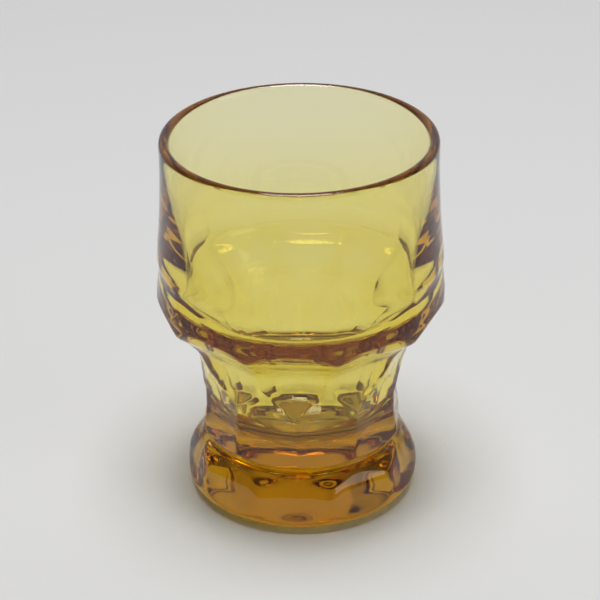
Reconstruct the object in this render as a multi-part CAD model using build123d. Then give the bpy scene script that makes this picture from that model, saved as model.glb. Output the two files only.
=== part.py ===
from build123d import *
import os

# A footed shot glass of pressed glass, made in one pressing, so it is one solid.
# Millimetres, +Z up. The origin is the centre of the foot's underside, and one belly facet faces -Y.

# Driving sizes
height = 70.6
facet_count = 10
rim_radius = 25.0
rim_inner_radius = 23.15
belly_radius = 26.45
rest_radius = 18.4
bevel_radius = 17.6
recess_radius = 15.0
recess_depth = 0.4
floor_z = 12.0
floor_corner = 10.0
cavity_foot_radius = 14.6

# Sizes worked out from them
pitch = 360.0 / facet_count
lip_radius = (rim_radius - rim_inner_radius) / 2
shoulder_z = height - lip_radius
tool_reach = 34.0
tool_width = 24.0
tool_clearance = 5.0

# Half sections, as (radius, z)
foot_edge = [(rest_radius, 0.0), (20.1, 0.9), (21.4, 2.1), (21.75, 4.9), (20.9, 8.5), (18.6, 11.1)]
neck_crease = [(18.6, 11.1), (17.6, 11.4), (18.0, 12.0), (19.2, 13.4), (24.0, 20.0), (belly_radius, 24.0)]
upper_wall = [(belly_radius, 41.5), (26.25, 46.0), (25.49, 55.0), (25.05, 64.0), (rim_radius, shoulder_z)]
cavity_wall = [
    (rim_inner_radius, shoulder_z), (23.0, 60.0), (22.6, 50.0), (22.3, 44.0), (21.9, 41.7), (20.1, 39.0),
    (18.2, 36.0), (16.3, 33.0), (15.6, 30.0), (14.95, 25.0), (cavity_foot_radius, floor_z + floor_corner),
]

# Facets, as (distance of the flat from the axis, z) down the middle of each facet
belly_facet = [
    (26.4, 40.0), (25.0, 37.7), (22.7, 35.5), (20.7, 33.0), (19.6, 30.5), (19.0, 28.5),
    (18.65, 26.5), (18.7, 24.0), (18.95, 21.0), (20.2, 18.0),
]
belly_facet_above = [(28.2, 42.5), (tool_reach, 49.0)]
belly_facet_below = [(24.0, 14.0), (tool_reach, 8.0)]
waist_facet = [
    (22.5, 33.5), (20.9, 31.0), (19.7, 28.5), (18.7, 26.0), (17.95, 23.5), (17.45, 21.0),
    (17.45, 18.5), (17.75, 16.0), (18.05, 14.0), (18.25, 12.2),
]
waist_facet_above = [(27.0, 38.0), (tool_reach, 43.0)]
waist_facet_below = [(18.6, 11.0), (22.0, 8.0), (tool_reach, 2.0)]
foot_facet = [(18.2, 11.2), (18.9, 10.5), (19.8, 9.0), (20.5, 7.0), (20.9, 5.0), (21.6, 3.0)]
foot_facet_above = [(19.0, 11.6), (24.0, 13.0), (tool_reach, 15.0)]
foot_facet_below = [(26.0, 0.0), (tool_reach, -4.0)]


def outer_body():
    """The turned outside, solid, before the facets and the cavity are cut."""
    underside = [(0.0, recess_depth), (recess_radius, recess_depth), (bevel_radius, 0.0), (rest_radius, 0.0)]
    with BuildLine() as half:
        Polyline(*underside)
        Spline(*foot_edge)
        Polyline(*neck_crease)
        Line(neck_crease[-1], upper_wall[0])
        Spline(*upper_wall, tangents=[(0, 1), (0, 1)])
        ThreePointArc(
            (rim_radius, shoulder_z),
            (rim_radius - lip_radius, height),
            (rim_inner_radius, shoulder_z),
        )
        Polyline((rim_inner_radius, shoulder_z), (0.0, shoulder_z), (0.0, recess_depth))
    return revolve(make_face(Plane.XZ * half.line), axis=Axis.Z)


def cavity():
    """The space for the drink: a nearly straight wall, a cone, a narrow well and a rounded floor."""
    corner_start = cavity_foot_radius - floor_corner
    above = height + tool_clearance
    with BuildLine() as half:
        Line((0.0, floor_z), (corner_start, floor_z))
        RadiusArc((corner_start, floor_z), (cavity_foot_radius, floor_z + floor_corner), -floor_corner)
        Spline(*reversed(cavity_wall), tangents=[(0, 1), (0, 1)])
        Polyline((rim_inner_radius, shoulder_z), (rim_inner_radius, above), (0.0, above), (0.0, floor_z))
    return revolve(make_face(Plane.XZ * half.line), axis=Axis.Z)


def facet_tool(above, facet, below, azimuth):
    """A cutter with the facet's curve down its middle, flat from side to side, at one azimuth."""
    with BuildLine() as section:
        Polyline(*reversed(above), facet[0])
        Spline(*facet)
        Polyline(facet[-1], *below, above[-1])
    flat = make_face(Plane.XZ * section.line)
    return extrude(flat, amount=tool_width / 2, both=True).rotate(Axis.Z, azimuth)


def tumbler():
    body = outer_body() - cavity()
    towards_front = -90.0
    for index in range(facet_count):
        azimuth = towards_front + index * pitch
        body -= facet_tool(belly_facet_above, belly_facet, belly_facet_below, azimuth)
        body -= facet_tool(waist_facet_above, waist_facet, waist_facet_below, azimuth + pitch / 2)
        body -= facet_tool(foot_facet_above, foot_facet, foot_facet_below, azimuth)
    return body


os.makedirs("parts", exist_ok=True)
glass = tumbler()
glass.label = "tumbler"
export_step(glass, "parts/tumbler.step")
box = glass.bounding_box()
print("solids", len(glass.solids()), "volume", round(glass.volume), "mm3, valid", glass.is_valid)
print("size", [round(v, 2) for v in (box.size.X, box.size.Y, box.size.Z)], "low", round(box.min.Z, 3))
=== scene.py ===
import math

import bpy
import numpy as np
from mathutils import Matrix, Vector

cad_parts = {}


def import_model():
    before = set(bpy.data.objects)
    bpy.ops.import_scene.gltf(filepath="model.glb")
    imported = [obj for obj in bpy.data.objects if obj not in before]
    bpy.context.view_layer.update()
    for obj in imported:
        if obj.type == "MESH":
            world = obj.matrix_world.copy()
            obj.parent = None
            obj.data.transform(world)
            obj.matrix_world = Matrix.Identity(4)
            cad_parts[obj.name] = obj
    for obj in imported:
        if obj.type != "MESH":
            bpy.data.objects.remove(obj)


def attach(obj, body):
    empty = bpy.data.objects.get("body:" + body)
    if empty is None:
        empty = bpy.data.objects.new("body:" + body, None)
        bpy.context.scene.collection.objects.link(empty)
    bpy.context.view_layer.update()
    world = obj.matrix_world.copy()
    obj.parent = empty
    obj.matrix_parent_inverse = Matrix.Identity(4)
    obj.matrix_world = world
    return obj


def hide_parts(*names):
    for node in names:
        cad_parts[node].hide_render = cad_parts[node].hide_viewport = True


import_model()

MM = 0.001

# ---- Driving sizes of the glass, in mm, with the foot's underside at z = 0 ----
# The height is a hair under the CAD's, so that the mesh stays inside its box.
HEIGHT = 70.59
FACETS = 10
LIP_HEIGHT = 0.95
RIM_INNER_RADIUS = 23.15
EDGE_SOFTNESS = 0.22
FOOT_SOFTNESS = 0.6
PANEL_SOFTNESS = 0.05
FLOOR_CORNER = 10.0
CAVITY_FLOOR_Z = 12.0

# ---- Fineness of the mesh ----
COLUMNS_PER_FACET = 30
LIP_RINGS = 15
WALL_RINGS = 64
CORNER_RINGS = 16
FLOOR_RINGS = 10
CENTRE_SHARE = 0.03

# Half sections, as (z, radius). Between the points the outline is a smooth curve.
ROUND_OUTLINE = [
    (0.0, 18.4), (0.9, 20.1), (2.1, 21.4), (3.8, 21.7), (6.0, 21.75), (8.5, 20.9),
    (10.3, 19.6), (11.1, 18.6), (11.4, 17.6), (12.0, 18.0), (13.4, 19.2), (16.0, 21.0),
    (20.0, 24.0), (24.0, 26.4), (40.0, 26.4), (43.0, 26.44), (46.0, 26.25), (50.0, 25.93),
    (55.0, 25.49), (60.0, 25.2), (65.0, 25.02), (69.0, 25.0), (71.0, 25.0),
]
BELLY_FACET = [
    (0.0, 45.0), (14.0, 24.0), (18.0, 20.2), (21.0, 18.95), (24.0, 18.7), (26.5, 18.65),
    (28.5, 19.0), (30.5, 19.6), (33.0, 20.7), (35.5, 22.7), (37.7, 25.0), (40.0, 26.4),
    (42.5, 28.2), (46.0, 31.0), (71.0, 55.0),
]
WAIST_FACET = [
    (0.0, 30.0), (8.0, 22.0), (11.0, 18.6), (12.2, 18.25), (14.0, 18.05), (16.0, 17.75),
    (18.5, 17.45), (21.0, 17.45), (23.5, 17.95), (26.0, 18.7), (28.5, 19.7), (31.0, 20.9),
    (33.5, 22.5), (38.0, 27.0), (44.0, 35.0), (71.0, 55.0),
]
# The barrel's shallow panels: the apothem at each height, and the radius of their faces' curve.
PANEL = [
    (0.0, 30.0), (38.0, 26.7), (41.0, 26.2), (43.5, 25.9), (45.5, 25.75), (46.6, 25.8),
    (47.5, 26.2), (49.0, 27.5), (71.0, 60.0),
]
PANEL_ROUND = 33.0
FOOT_FACET = [
    (0.0, 26.0), (3.0, 21.6), (5.0, 20.9), (7.0, 20.5), (9.0, 19.8), (10.5, 18.9),
    (11.2, 18.2), (11.6, 19.0), (13.0, 24.0), (71.0, 60.0),
]
WALL = [
    (22.0, 14.6), (25.0, 14.95), (30.0, 15.6), (33.0, 16.3), (36.0, 18.2), (39.0, 20.1),
    (41.7, 21.9), (44.0, 22.3), (50.0, 22.6), (60.0, 23.0), (71.0, 23.15),
]
# The underside as (radius, z), from the middle out: a gentle hollow, then the ring it rests on.
UNDERSIDE = [
    (0.4, 0.4), (4.0, 0.39), (8.0, 0.33), (12.0, 0.2), (15.0, 0.08), (17.6, 0.0), (18.4, 0.0),
]
# Bands of the outer surface, as (z at the bottom, number of rings).
OUTER_BANDS = [(0.0, 12), (2.5, 24), (10.0, 26), (14.0, 120)]
BARREL_Z = 42.0
BARREL_RINGS = 28

# ---- Colour of the glass: light lost per metre in red, green and blue ----
ABSORPTION = (14.0, 34.0, 240.0)
DENSITY_MARGIN = 1.02
GLASS_IOR = 1.5
GLASS_ROUGHNESS = (0.0, 0.035)
WEAR_SCALE = 220.0
WAVE_SCALE = 90.0
WAVE_DEPTH = 0.00006
CHILL_SCALE = 420.0
CHILL_DEPTH = 0.000006

# ---- The pale paper it stands on ----
FLOOR_ALBEDO = 0.78
PAPER_SCALE = 900.0
PAPER_DEPTH = 0.00002
PAPER_ROUGHNESS = (0.8, 0.95)
PAPER_SHINE = 0.1
FLOOR_HALF_SIZE = 1.2
FLOOR_DROP = 0.0001

# ---- Camera: the photograph's viewing angle ----
CAMERA_DISTANCE = 407.12
CAMERA_ELEVATION = 28.355
CAMERA_AZIMUTH = 3.97
CAMERA_ROLL = 0.0103
CAMERA_YAW = 0.00038
CAMERA_PITCH = 0.00487
LENS_PER_SENSOR = 2205.05 / 600
SENSOR = 36.0
NEAREST, FARTHEST = 0.01, 20

# ---- Light of the room ----
BACKDROP_LEVEL = 0.6
SIDE_LEVEL = 0.12
SEEN_LEVEL = 0.75
FRONT_EDGE, BACK_EDGE = 0.25, 0.75

# ---- Paths that light may take through the glass ----
LIGHT_BOUNCES = 24
GLOSSY_BOUNCES = 12


def smooth_curve(points):
    """A function of z: a smooth curve through the points that never overshoots them."""
    x, y = np.array(sorted(points)).T
    step = np.diff(x)
    slope = np.diff(y) / step
    tangent = np.zeros_like(y)
    tangent[0], tangent[-1] = slope[0], slope[-1]
    for i in range(1, len(x) - 1):
        if slope[i - 1] * slope[i] > 0:
            before = 2 * step[i] + step[i - 1]
            after = step[i] + 2 * step[i - 1]
            tangent[i] = (before + after) / (before / slope[i - 1] + after / slope[i])

    def value(z):
        z = np.clip(z, x[0], x[-1])
        i = np.clip(np.searchsorted(x, z) - 1, 0, len(x) - 2)
        t = (z - x[i]) / step[i]
        return (
            (1 + 2 * t) * (1 - t) ** 2 * y[i]
            + t * (1 - t) ** 2 * step[i] * tangent[i]
            + t * t * (3 - 2 * t) * y[i + 1]
            + t * t * (t - 1) * step[i] * tangent[i + 1]
        )

    return value


def soft_min(a, b, softness=EDGE_SOFTNESS):
    """The smaller of a and b, with the edge between them rounded."""
    h = np.clip(0.5 + 0.5 * (b - a) / softness, 0, 1)
    return b * (1 - h) + a * h - softness * h * (1 - h)


PITCH = 2 * math.pi / FACETS
round_outline = smooth_curve(ROUND_OUTLINE)
panel_apothem = smooth_curve(PANEL)
facet_rows = [
    (smooth_curve(BELLY_FACET), 0.0, EDGE_SOFTNESS),
    (smooth_curve(WAIST_FACET), PITCH / 2, EDGE_SOFTNESS),
    (smooth_curve(FOOT_FACET), 0.0, FOOT_SOFTNESS),
]


def outer_radius(angle, z):
    """Outer surface: a turned body, shallow panels and three rows of facets. Angle 0 is towards -Y."""
    radius = round_outline(z) + 0 * angle
    off = (angle + PITCH / 2) % PITCH - PITCH / 2
    back = panel_apothem(z) - PANEL_ROUND
    arc = back * np.cos(off) + np.sqrt(PANEL_ROUND**2 - (back * np.sin(off)) ** 2)
    radius = soft_min(radius, arc, PANEL_SOFTNESS)
    for apothem, turn, softness in facet_rows:
        off = (angle - turn + PITCH / 2) % PITCH - PITCH / 2
        near = apothem(z) / np.cos(off)
        far = apothem(z) / np.cos(PITCH - np.abs(off))
        radius = soft_min(radius, soft_min(near, far, softness), softness)
    return radius


def glass_mesh():
    """One closed mesh, ring by ring: underside, outer surface, lip, cavity wall and cavity floor."""
    columns = FACETS * COLUMNS_PER_FACET
    angle = np.arange(columns) * 2 * math.pi / columns
    rings = []

    def add_ring(radius, z):
        rings.append(np.stack([radius * np.sin(angle), -radius * np.cos(angle), z + 0 * angle], 1))

    for radius, z in UNDERSIDE:
        add_ring(radius, z)
    shoulder_z = HEIGHT - LIP_HEIGHT
    bottoms = [z for z, _ in OUTER_BANDS] + [BARREL_Z]
    bands = [
        np.linspace(bottom, top, count, endpoint=False)
        for (bottom, count), top in zip(OUTER_BANDS, bottoms[1:])
    ]
    heights = np.concatenate(bands + [np.linspace(BARREL_Z, shoulder_z, BARREL_RINGS)])
    for z in heights:
        add_ring(outer_radius(angle, z), z)
    rim_outer = float(round_outline(shoulder_z))
    middle = (rim_outer + RIM_INNER_RADIUS) / 2
    half_wall = (rim_outer - RIM_INNER_RADIUS) / 2
    for turn in np.linspace(0, math.pi, LIP_RINGS)[1:-1]:
        add_ring(middle + half_wall * math.cos(turn), shoulder_z + LIP_HEIGHT * math.sin(turn))
    cavity = smooth_curve(WALL)
    corner_z = CAVITY_FLOOR_Z + FLOOR_CORNER
    for z in np.linspace(shoulder_z, corner_z, WALL_RINGS, endpoint=False):
        add_ring(float(cavity(z)), z)
    floor_radius = float(cavity(corner_z)) - FLOOR_CORNER
    for turn in np.linspace(0, math.pi / 2, CORNER_RINGS):
        out, down = FLOOR_CORNER * math.cos(turn), FLOOR_CORNER * math.sin(turn)
        add_ring(floor_radius + out, corner_z - down)
    for share in np.linspace(1, CENTRE_SHARE, FLOOR_RINGS)[1:]:
        add_ring(floor_radius * share, CAVITY_FLOOR_Z)

    corner = np.arange(columns)
    after = (corner + 1) % columns
    faces = []
    for i in range(len(rings) - 1):
        low, high = i * columns, (i + 1) * columns
        faces += np.stack([low + corner, low + after, high + after, high + corner], 1).tolist()
    faces.append(corner[::-1].tolist())
    faces.append(((len(rings) - 1) * columns + corner).tolist())
    mesh = bpy.data.meshes.new("amber_tumbler")
    mesh.from_pydata((np.concatenate(rings) * MM).tolist(), [], faces)
    mesh.polygons.foreach_set("use_smooth", [True] * len(mesh.polygons))
    mesh.update()
    return mesh


def map_range(material, value, low, high):
    """A node that turns a 0 to 1 pattern into values between low and high."""
    node = material.node_tree.nodes.new("ShaderNodeMapRange")
    material.node_tree.links.new(value, node.inputs["Value"])
    node.inputs["To Min"].default_value = low
    node.inputs["To Max"].default_value = high
    return node.outputs[0]


def pattern(material, scale, detail, stretch=(1, 1, 1)):
    """A noise pattern fixed to the object; scale is in repeats per metre."""
    nodes, links = material.node_tree.nodes, material.node_tree.links
    place = nodes.new("ShaderNodeTexCoord")
    stretched = nodes.new("ShaderNodeMapping")
    stretched.inputs["Scale"].default_value = stretch
    links.new(place.outputs["Object"], stretched.inputs["Vector"])
    noise = nodes.new("ShaderNodeTexNoise")
    noise.inputs["Scale"].default_value = scale
    noise.inputs["Detail"].default_value = detail
    links.new(stretched.outputs[0], noise.inputs["Vector"])
    return noise.outputs["Fac"]


def bump(material, height, depth, under=None):
    """Raises the surface by the pattern, at most depth metres, over another bump if one is given."""
    nodes, links = material.node_tree.nodes, material.node_tree.links
    node = nodes.new("ShaderNodeBump")
    node.inputs["Distance"].default_value = depth
    links.new(height, node.inputs["Height"])
    if under is not None:
        links.new(under, node.inputs["Normal"])
    return node.outputs[0]


def amber_glass():
    """Fire-polished pressed glass: mould waviness, fine wear and a colour that deepens with thickness."""
    material = bpy.data.materials.new("amber_glass")
    material.use_nodes = True
    nodes, links = material.node_tree.nodes, material.node_tree.links
    shader = nodes["Principled BSDF"]
    shader.inputs["Base Color"].default_value = (1, 1, 1, 1)
    shader.inputs["Transmission Weight"].default_value = 1
    shader.inputs["IOR"].default_value = GLASS_IOR
    wear = pattern(material, WEAR_SCALE, 4.0)
    links.new(map_range(material, wear, *GLASS_ROUGHNESS), shader.inputs["Roughness"])
    waviness = bump(material, pattern(material, WAVE_SCALE, 1.0), WAVE_DEPTH)
    chill = bump(material, pattern(material, CHILL_SCALE, 2.0, (1, 1, 0.3)), CHILL_DEPTH, waviness)
    links.new(chill, shader.inputs["Normal"])
    density = max(ABSORPTION) * DENSITY_MARGIN
    absorb = nodes.new("ShaderNodeVolumeAbsorption")
    absorb.inputs["Color"].default_value = [1 - a / density for a in ABSORPTION] + [1]
    absorb.inputs["Density"].default_value = density
    links.new(absorb.outputs[0], nodes["Material Output"].inputs["Volume"])
    return material


def floor():
    """A plain pale sheet of paper, just under the foot."""
    mesh = bpy.data.meshes.new("floor")
    s = FLOOR_HALF_SIZE
    mesh.from_pydata([(-s, -s, 0), (s, -s, 0), (s, s, 0), (-s, s, 0)], [], [(0, 1, 2, 3)])
    ob = bpy.data.objects.new("floor", mesh)
    bpy.context.scene.collection.objects.link(ob)
    ob.location.z = -FLOOR_DROP
    material = bpy.data.materials.new("pale_floor")
    material.use_nodes = True
    links = material.node_tree.links
    shader = material.node_tree.nodes["Principled BSDF"]
    shader.inputs["Base Color"].default_value = (FLOOR_ALBEDO, FLOOR_ALBEDO, FLOOR_ALBEDO, 1)
    shader.inputs["Specular IOR Level"].default_value = PAPER_SHINE
    grain = pattern(material, PAPER_SCALE, 3.0)
    links.new(map_range(material, grain, *PAPER_ROUGHNESS), shader.inputs["Roughness"])
    links.new(bump(material, grain, PAPER_DEPTH), shader.inputs["Normal"])
    mesh.materials.append(material)


def world():
    """Room light: bright behind the glass and dark in front. The camera sees an even pale grey."""
    w = bpy.data.worlds.new("studio")
    bpy.context.scene.world = w
    w.use_nodes = True
    nodes, links = w.node_tree.nodes, w.node_tree.links
    where = nodes.new("ShaderNodeTexCoord")
    split = nodes.new("ShaderNodeSeparateXYZ")
    links.new(where.outputs["Generated"], split.inputs[0])
    behind = nodes.new("ShaderNodeMapRange")
    behind.interpolation_type = "SMOOTHSTEP"
    links.new(split.outputs["Y"], behind.inputs["Value"])
    behind.inputs["From Min"].default_value = FRONT_EDGE
    behind.inputs["From Max"].default_value = BACK_EDGE
    behind.inputs["To Min"].default_value = SIDE_LEVEL
    behind.inputs["To Max"].default_value = BACKDROP_LEVEL
    seen = nodes.new("ShaderNodeLightPath")
    mix = nodes.new("ShaderNodeMix")
    links.new(seen.outputs["Is Camera Ray"], mix.inputs["Factor"])
    links.new(behind.outputs[0], mix.inputs["A"])
    mix.inputs["B"].default_value = SEEN_LEVEL
    links.new(mix.outputs[0], nodes["Background"].inputs["Color"])
    nodes["Background"].inputs["Strength"].default_value = 1.0


def area_light(name, azimuth, elevation, distance, width, height, power):
    """A soft light aimed at the glass. Angles are in degrees, azimuth 0 in front; sizes in metres."""
    light = bpy.data.lights.new(name, "AREA")
    light.shape = "RECTANGLE"
    light.size, light.size_y = width, height
    light.energy = power
    ob = bpy.data.objects.new(name, light)
    a, e = math.radians(azimuth), math.radians(elevation)
    back = Vector((math.sin(a) * math.cos(e), -math.cos(a) * math.cos(e), math.sin(e)))
    ob.location = back * distance + Vector((0, 0, HEIGHT / 2 * MM))
    ob.rotation_euler = back.to_track_quat("Z", "Y").to_euler()
    bpy.context.scene.collection.objects.link(ob)


def camera():
    """Looks down at the middle of the glass, then turns a little to frame it."""
    e = math.radians(CAMERA_ELEVATION)
    place = Vector((0, -CAMERA_DISTANCE * math.cos(e), HEIGHT / 2 + CAMERA_DISTANCE * math.sin(e)))
    ahead = Vector((0, math.cos(e), -math.sin(e)))
    right = Vector((1, 0, 0))
    up = right.cross(ahead)
    aim = Matrix.Rotation(CAMERA_YAW, 3, up) @ Matrix.Rotation(CAMERA_PITCH, 3, right)
    ahead, right, up = aim @ ahead, aim @ right, aim @ up
    roll = Matrix.Rotation(CAMERA_ROLL, 3, ahead)
    right, up = roll @ right, roll @ up
    around = Matrix.Rotation(math.radians(CAMERA_AZIMUTH), 4, "Z")
    turn = Matrix((right, up, -ahead)).transposed().to_4x4()
    data = bpy.data.cameras.new("camera")
    data.sensor_width = SENSOR
    data.lens = SENSOR * LENS_PER_SENSOR
    data.clip_start, data.clip_end = NEAREST, FARTHEST
    ob = bpy.data.objects.new("camera", data)
    bpy.context.scene.collection.objects.link(ob)
    ob.matrix_world = around @ Matrix.Translation(place * MM) @ turn
    bpy.context.scene.camera = ob


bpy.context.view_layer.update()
glass = bpy.data.objects.new("amber_tumbler", glass_mesh())
bpy.context.scene.collection.objects.link(glass)
glass.data.materials.append(amber_glass())
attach(glass, "root")
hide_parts("tumbler")

floor()
world()
area_light("right_window", 66, 14, 0.8, 0.4, 0.3, 0.7)
area_light("top_softbox", 0, 88, 1.0, 0.5, 0.5, 7.6)
camera()

scene = bpy.context.scene
scene.view_settings.view_transform = "Standard"
scene.cycles.max_bounces = LIGHT_BOUNCES
scene.cycles.transmission_bounces = LIGHT_BOUNCES
scene.cycles.glossy_bounces = GLOSSY_BOUNCES
